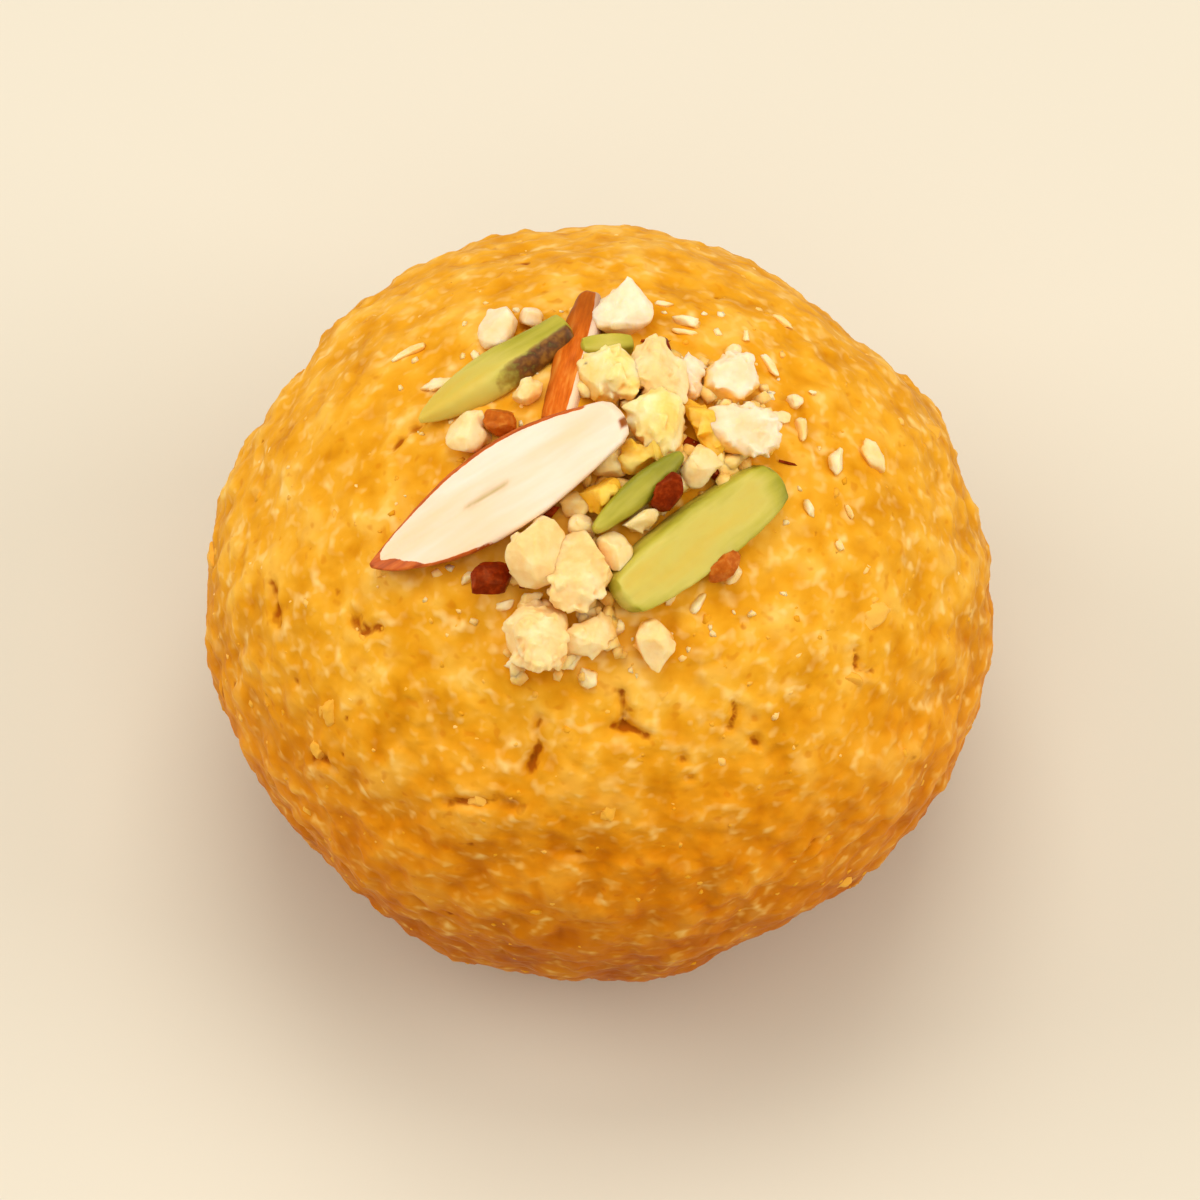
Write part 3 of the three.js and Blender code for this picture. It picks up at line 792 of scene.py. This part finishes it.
def shardedCopy(node, shards, shardSize, dice):
    bm = bmesh.new()
    bm.from_mesh(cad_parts[node].data)
    bmesh.ops.remove_doubles(bm, verts=bm.verts, dist=0.001 * mm)
    faces = list(bm.faces)
    sizes = [face.calc_area() / mm ** 2 for face in faces]
    for face in dice.choices(faces, sizes, k=round(shards * sum(sizes))):
        corners = [vert.co for vert in face.verts]
        edgeSpot = corners[1].lerp(corners[2], dice.random())
        place = corners[0].lerp(edgeSpot, math.sqrt(dice.random()))
        width = dice.uniform(*shardSize)
        tilt = anyDirection(dice)
        place -= face.normal * width * choppedPlan["shardSunk"] * mm
        addShard(bm, dice, (place, tilt), 0, dice.uniform(0, 180),
                 (width * 1.3, width, width * 0.75), 9)
    return bm


# One even closed skin round everything in a mesh.
def remeshed(bm, name):
    rough = newObject(name + "_rough", meshFrom(bm, name + "_rough"))
    remesh = rough.modifiers.new("even", "REMESH")
    remesh.mode = "VOXEL"
    remesh.voxel_size = choppedPlan["voxel"] * mm
    evaluated = rough.evaluated_get(bpy.context.evaluated_depsgraph_get())
    bm = bmesh.new()
    bm.from_mesh(evaluated.to_mesh())
    bpy.data.objects.remove(rough)
    return bm


# Narrows a mesh towards a point.
def narrow(mesh, middle, way, narrowing):
    places = vertexPlaces(mesh) - middle
    along = places @ way
    axis = np.outer(along, way)
    share = (along - along.min()) / (along.max() - along.min())
    width = 1.1 - narrowing * np.maximum(share - 0.3, 0) / 0.7
    setVertexPlaces(mesh, axis + (places - axis) * width[:, None] + middle)


def makeChopped(node, kindName, material):
    plan, dice = choppedPlan, random.Random(node)
    shards, shardSize, flatCount, stretch, ruffleHeight = choppedKinds[kindName]
    lie, half = lieOf(node)
    middle = np.array(lie.translation)
    bm = remeshed(shardedCopy(node, shards, shardSize, dice), node)
    flats = [(np.array(anyDirection(dice)), dice.uniform(*plan["flatReach"]))
             for _ in range(flatCount)]
    for _ in range(plan["softening"]):
        bmesh.ops.smooth_vert(bm, verts=bm.verts, factor=0.45,
                              use_axis_x=True, use_axis_y=True, use_axis_z=True)
    mesh = meshFrom(bm, node + "_chopped")
    mesh.transform(lie.inverted())
    spots = vertexPlaces(mesh) / half
    for normal, reach in flats:
        spots -= np.outer(np.maximum(spots @ normal - reach, 0) * 0.9, normal)
    low, high = spots.min(0), spots.max(0)
    spots = (spots - (low + high) / 2) * 2 / (high - low)
    setVertexPlaces(mesh, spots * half * stretch)
    mesh.transform(lie)
    if node in points:
        narrow(mesh, middle, *points[node])
    places = vertexPlaces(mesh)
    ruffle = np.array([noise.fractal(Vector(place) / (plan["ruffle"] * mm), 0.8, 2.0, 2)
                       for place in places])
    places += vertexNormals(mesh) * (ruffleHeight * mm * ruffle)[:, None]
    setVertexPlaces(mesh, places)
    skin = np.zeros(len(places))
    if kindName == "skin":
        scorch = 0.0 if material is darkSkinMaterial else 0.45
        storeValues(mesh, "scorch", np.full(len(places), scorch))
        skin = 0.45 + (vertexPlaces(mesh) - middle) @ np.array(lie.col[2].to_3d()) / mm
    storeFinish(mesh, skin)
    finishPiece(node + "_chopped", mesh, material, [node])


crevicePlan = {
    "rounds": 30,        # of smoothing
    "pull": 0.6,         # how far each round goes
    "depth": 0.12,       # depth that counts as deep in a crack
    "vertices": 4000,    # coarser pieces have no crevices
}


# From 0 on open faces to 1 deep in a crack: how far each vertex lies under the smoothed mesh.
# With it comes how far the smoothed mesh turns to its sides: 0 where it faces away from the
# ball, and 1 where it faces along it.
def creviceAndSide(mesh):
    places, normals = vertexPlaces(mesh), vertexNormals(mesh)
    edges = np.empty(len(mesh.edges) * 2, np.int32)
    mesh.edges.foreach_get("vertices", edges)
    ends = np.concatenate([edges[0::2], edges[1::2]])
    others = np.concatenate([edges[1::2], edges[0::2]])
    count = np.bincount(ends, minlength=len(places))[:, None]
    smooth = places.copy()
    for _ in range(crevicePlan["rounds"]):
        total = [np.bincount(ends, smooth[others, axis], len(places)) for axis in range(3)]
        smooth += crevicePlan["pull"] * (np.array(total).T / count - smooth)
    depth = ((smooth - places) * normals).sum(1) / mm
    setVertexPlaces(mesh, smooth)
    facing = (vertexNormals(mesh) * overBall(places)[1]).sum(1)
    setVertexPlaces(mesh, places)
    return smoothStep(0, crevicePlan["depth"], depth), smoothStep(0.7, 0.1, facing)


# What the nut materials read, for pieces that aren't cut along a length. "dry" is how many
# millimetres further from the ghee the piece counts as being.
def storeFinish(mesh, skin, dry=0):
    places = vertexPlaces(mesh)
    crevice, side = np.zeros((2, len(places)))
    if len(places) > crevicePlan["vertices"]:
        crevice, side = creviceAndSide(mesh)
    # painted shade: the sides count as lower and the cracks as deep, so the cashew materials paint
    # them amber
    storeValues(mesh, "height", overBall(places)[0] + dry - 0.9 * side)
    storeValues(mesh, "crevice", 0.8 * crevice)
    storeValues(mesh, "skin", skin)
    storeValues(mesh, "lengthwise", places)


for kindName, material, slot, nodes in choppedNuts:
    for node in nodes:
        makeChopped(node, kindName, material)
print("chopped nuts made")

outside = 60             # how far from the ball's middle a ray starts


# The spot where a ray from outside meets the paste: a place and its outward direction.
def onPaste(direction):
    start = Vector(ballMiddle) * mm + direction * outside * mm
    place = ballTree.ray_cast(start, -direction)[0]
    return place, Vector(overBall(np.array(place))[1][0])


# The spot on the crown that lies so far east and north of its middle.
def onCrown(east, north):
    plan = ballPlan
    up = math.sqrt(1 - (east ** 2 + north ** 2) / plan["radius"] ** 2) * plan["rise"]
    return onPaste(Vector((east, north, up)).normalized())


# Makes bits one piece. Grits and lumps give a shade for each vertex, and the rest are nuts.
def finishBits(name, bm, material, shades=None, dry=0, flat=False):
    mesh = meshFrom(bm, name)
    if shades:
        storeValues(mesh, "shade", shades)
    else:
        storeFinish(mesh, np.ones(len(mesh.vertices)), dry)
    finishPiece(name, mesh, material, flat=flat)


# Small loose crumbs, and finer ones all over the crown.
crumbPlan = {
    # east, north, length, width and turn
    "placed": [
        (-5.2, -13.4, 1.6, 1.0, 10), (-1.7, -13.3, 1.2, 1.0, 60), (-0.8, -14.3, 1.3, 1.0, 100),
        (1.2, -11.6, 0.9, 0.8, 0), (-5.8, -10.0, 1.0, 0.6, 20), (-8.2, -8.1, 0.9, 0.5, 40),
        (-10.2, 5.7, 2.0, 0.8, -5), (-7.7, 7.3, 0.9, 0.5, 110), (-11.9, 8.8, 1.9, 0.6, 15),
        (5.4, 9.9, 1.6, 0.9, -5), (5.3, 9.0, 1.4, 0.4, -5), (4.0, 11.4, 1.1, 0.4, 0),
        (8.2, 7.8, 1.1, 0.8, 60), (9.0, 9.2, 0.9, 0.5, 80), (10.5, 7.3, 1.6, 0.5, -60),
        (11.4, 11.7, 1.2, 0.5, -40), (12.0, 4.7, 1.2, 0.9, 20), (11.1, 3.2, 1.1, 0.9, 0),
        (12.5, 2.8, 1.7, 0.8, 85), (13.1, 5.7, 0.5, 0.4, 0), (14.6, 1.0, 1.7, 1.0, 80),
        (16.8, 2.1, 2.0, 1.2, -50), (13.0, -2.7, 1.0, 0.5, -60), (15.4, -2.2, 0.9, 0.4, -60),
        (14.7, -4.7, 0.8, 0.5, -60), (4.3, -9.7, 1.0, 0.6, 70), (8.2, -7.8, 1.4, 0.9, 70),
        (6.1, -9.9, 1.3, 0.6, 60)],
    "stretch": 1.25,     # final length and width against these
    "lift": 0.12,        # as a share of the width
    "fine": 90,
    "fineReach": 14.5,   # how far from the middle of the crown they lie
    "fineWidth": (0.2, 0.6),
}


def makeCrumbs():
    plan, dice, bm = crumbPlan, random.Random(11), bmesh.new()
    for east, north, length, width, turn in plan["placed"]:
        size = (length * plan["stretch"], width * plan["stretch"], width)
        addBit(bm, dice, onCrown(east, north), plan["lift"] * width, turn, size)
    for _ in range(plan["fine"]):
        reach = plan["fineReach"] * math.sqrt(dice.random())
        angle = dice.uniform(0, 2 * math.pi)
        spot = onCrown(reach * math.cos(angle), reach * math.sin(angle))
        width = dice.uniform(*plan["fineWidth"])
        addShard(bm, dice, spot, 0, dice.uniform(0, 180), (width * 1.4, width, width * 0.8), 9)
    finishBits("cashew_crumbs", bm, crumbMaterial, dry=1)


# Crumbs between the bits of the heap, amber at the foot, partly from ghee and partly as painted
# shade where they lie in the heap's shadow.
heapPlan = {
    # east, north, length, width, turn and lift
    "placed": [
        (0.9, -1.6, 2.4, 1.8, 30, 0.8), (-1.4, -4.2, 1.9, 1.6, 20, 0.5),
        (-1.0, -6.0, 1.8, 1.5, 80, 0.5), (2.6, -5.0, 2.0, 1.4, 40, 0.5),
        (7.5, -1.2, 1.7, 1.1, -20, 0.5), (4.6, 4.2, 1.5, 1.2, 60, 0.6),
        (5.4, 5.3, 1.8, 1.3, 10, 0.5), (0.8, -7.4, 1.6, 1.3, 110, 0.5),
        (-4.2, -10.1, 1.6, 1.2, 30, 0.5), (-2.0, -9.4, 1.3, 1.0, 70, 0.5),
        (4.8, -1.0, 1.6, 1.2, 0, 0.5), (-4.9, -8.4, 1.4, 1.0, 20, 0.4)],
    "stretch": 1.2,
    "loose": 150,        # more crumbs round these bits, so far from their middles
    "bits": [
        "cashew_yellow_back", "cashew_ridged", "cashew_yellow_middle", "cashew_yellow_low",
        "cashew_middle", "cashew_beside_slice", "cashew_between", "cashew_inner_right",
        "cashew_right", "cashew_far_right", "cashew_front", "cashew_low_front"],
    "reach": (1.2, 2.3),
    "width": (0.5, 1.3),
    "lift": (0.1, 0.7),  # as a share of the width
}


def makeHeapCrumbs():
    plan, dice, bm = heapPlan, random.Random(15), bmesh.new()
    for east, north, length, width, turn, lift in plan["placed"]:
        size = (length * plan["stretch"], width * plan["stretch"], width * 1.1)
        addBit(bm, dice, onCrown(east, north), lift, turn, size)
    for _ in range(plan["loose"]):
        middle = lieOf(dice.choice(plan["bits"]))[0].translation / mm
        angle = dice.uniform(0, 2 * math.pi)
        reach = dice.uniform(*plan["reach"])
        spot = onCrown(middle.x + reach * math.cos(angle), middle.y + reach * math.sin(angle))
        width = dice.uniform(*plan["width"])
        lift = width * dice.uniform(*plan["lift"])
        addShard(bm, dice, spot, lift, dice.uniform(0, 180), (width * 1.3, width, width), 12)
    finishBits("heap_crumbs", bm, heapCrumbMaterial)


# Flakes and fibres of dark almond skin.
skinPlan = {
    # east, north, length, width and turn
    "flakes": [
        (5.3, 0.0, 1.6, 1.2, 30), (7.2, -1.2, 1.5, 1.2, 90), (-3.1, -4.5, 1.2, 0.9, 0),
        (-4.6, -8.6, 1.1, 0.6, 70), (-2.1, -6.9, 0.8, 0.5, 50), (-2.0, -10.2, 1.2, 0.6, -20)],
    "fibres": [(3.4, 8.0, 2.2, 0.3, 5), (11.7, 0.1, 1.7, 0.25, -3)],
    "stretch": 1.3,      # for the flakes
    "flakeLift": 0.3,
    "fibreLift": 0.1,
}


def makeSkinBits():
    plan, dice, bm = skinPlan, random.Random(12), bmesh.new()
    for east, north, length, width, turn in plan["flakes"]:
        size = (length * plan["stretch"], width * plan["stretch"], width)
        addShard(bm, dice, onCrown(east, north), plan["flakeLift"], turn, size, 12)
    for east, north, length, width, turn in plan["fibres"]:
        size = (length, width, width)
        addShard(bm, dice, onCrown(east, north), plan["fibreLift"], turn, size, 9)
    finishBits("skin_crumbs", bm, darkSkinMaterial, dry=1, flat=True)


# Coarse flour grits, pressed into the paste nearly flush.
gritPlan = {
    "count": 800,
    "lowest": 0.5,       # none are made below this height
    "width": (0.25, 0.7),
    "length": (1, 1.7),  # as a share of the width
    "thickness": 0.6,    # as a share of the width
    "sunk": (0.1, 0.4),  # as a share of the thickness
}


def makeGrits():
    plan, dice, bm, shades = gritPlan, random.Random(13), bmesh.new(), []
    small, large = plan["width"]
    for _ in range(plan["count"]):
        place, outward = onPaste(anyDirection(dice))
        if place.z < plan["lowest"] * mm:
            continue
        width = small + (large - small) * dice.random() ** 3
        size = (width * dice.uniform(*plan["length"]), width, width * plan["thickness"])
        # painted shade: darker down the front and underside, as on the paste
        litShare = float(smoothStep(0, 26, (place.z + 0.5 * place.y) / mm))
        shade = dice.random() * (0.2 + 0.8 * litShare)
        sunk = size[2] * dice.uniform(*plan["sunk"])
        verts = addShard(bm, dice, (place, outward), -sunk, dice.uniform(0, 180), size, 12)
        shades += [shade] * len(verts)
    finishBits("paste_grits", bm, gritMaterial, shades)


# Lumps of drier paste, most of each below the surface.
chunkPlan = {
    # bearing, rise, width, length and turn
    "placed": [
        (-109.9, 26.5, 2.0, 2.6, 90), (-155.0, 47.0, 1.4, 1.8, 70), (-24.5, 34.0, 2.0, 2.4, 60)],
    "strayed": 9,        # further lumps all round
    "rise": (-20, 45),
    "width": (1.0, 1.9),
    "length": (1.0, 2.2),
    "stretch": 1.2,
    "thickness": 1.5,
    "sunk": 0.4,
    "shades": (0.7, 0.5),  # of the placed lumps and of the others
}


def makeChunks():
    plan, dice, bm, shades = chunkPlan, random.Random(14), bmesh.new(), []
    strayed = [(dice.uniform(-180, 180), dice.uniform(*plan["rise"]), dice.uniform(*plan["width"]),
                dice.uniform(*plan["length"]), dice.uniform(0, 180))
               for _ in range(plan["strayed"])]
    for lumps, shade in zip((plan["placed"], strayed), plan["shades"]):
        for bearing, rise, width, length, turn in lumps:
            spot = onPaste(Vector(bearingOf(bearing, rise)))
            size = (length * plan["stretch"], width * plan["stretch"], plan["thickness"])
            shades += [shade] * len(addBit(bm, dice, spot, -plan["sunk"], turn, size, detail=4))
    finishBits("paste_chunks", bm, gritMaterial, shades)


makeCrumbs()
makeHeapCrumbs()
makeSkinBits()
makeGrits()
makeChunks()
print("crumbs and grits made")

stagePlan = {
    "floor": 1600,
    "floorDrop": 0.05,   # gap under the ladoo, so that the faces don't flicker
    "elevation": 61,
    "distance": 600,
    "frameWidth": 76,    # width of the view at the ladoo
    "lightHeight": 20,   # the lights are aimed here
    # power in watts, size, bearing, rise and distance of each light
    "lights": {
        "window": (1.95, 420, 88, 70, 700),
        "left": (1.68, 420, 172, 36, 700),
        "right": (1.75, 420, -8, 33, 700),
        "front": (1.62, 600, -86, 66, 800),
    },
    "lightColour": "fff2dc",
    "worldColour": "f7ead0",
    "worldStrength": 0.42,
}


# Puts an object so far from a place, in a direction, and turns it to face the place.
def standOff(thing, place, direction, distance):
    thing.location = place + direction * distance * mm
    thing.rotation_euler = direction.to_track_quat("Z", "Y").to_euler()


def makeFloor():
    bm = bmesh.new()
    bmesh.ops.create_grid(bm, x_segments=1, y_segments=1, size=stagePlan["floor"] * mm / 2)
    floor = newObject("floor", meshFrom(bm, "floor"))
    floor.location.z = -stagePlan["floorDrop"] * mm
    material, add = newMaterial("matt pale paper")
    bsdf = add("BsdfPrincipled", {"Roughness": 0.8, "Base Color": "dfdfdc"})
    add("OutputMaterial", {"Surface": bsdf})
    floor.data.materials.append(material)


def makeLights():
    aim = Vector((0, 0, stagePlan["lightHeight"] * mm))
    for name, (power, size, bearing, rise, distance) in stagePlan["lights"].items():
        light = bpy.data.lights.new(name, "AREA")
        light.energy = power
        light.size = size * mm
        light.color = linearColour(stagePlan["lightColour"])[:3]
        standOff(newObject(name, light), aim, Vector(bearingOf(bearing, rise)), distance)
    world = bpy.data.worlds.new("studio")
    world.use_nodes = True
    background = world.node_tree.nodes["Background"].inputs
    background["Color"].default_value = linearColour(stagePlan["worldColour"])
    background["Strength"].default_value = stagePlan["worldStrength"]
    scene.world = world


def makeCamera():
    plan = stagePlan
    camera = bpy.data.cameras.new("camera")
    camera.sensor_width = 36
    camera.lens = camera.sensor_width * plan["distance"] / plan["frameWidth"]
    holder = newObject("camera", camera)
    low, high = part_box("ladoo")
    standOff(holder, (low + high) / 2, Vector(bearingOf(-90, plan["elevation"])), plan["distance"])
    scene.camera = holder


makeFloor()
makeLights()
makeCamera()
scene.view_settings.view_transform = "Standard"
print("stage made")
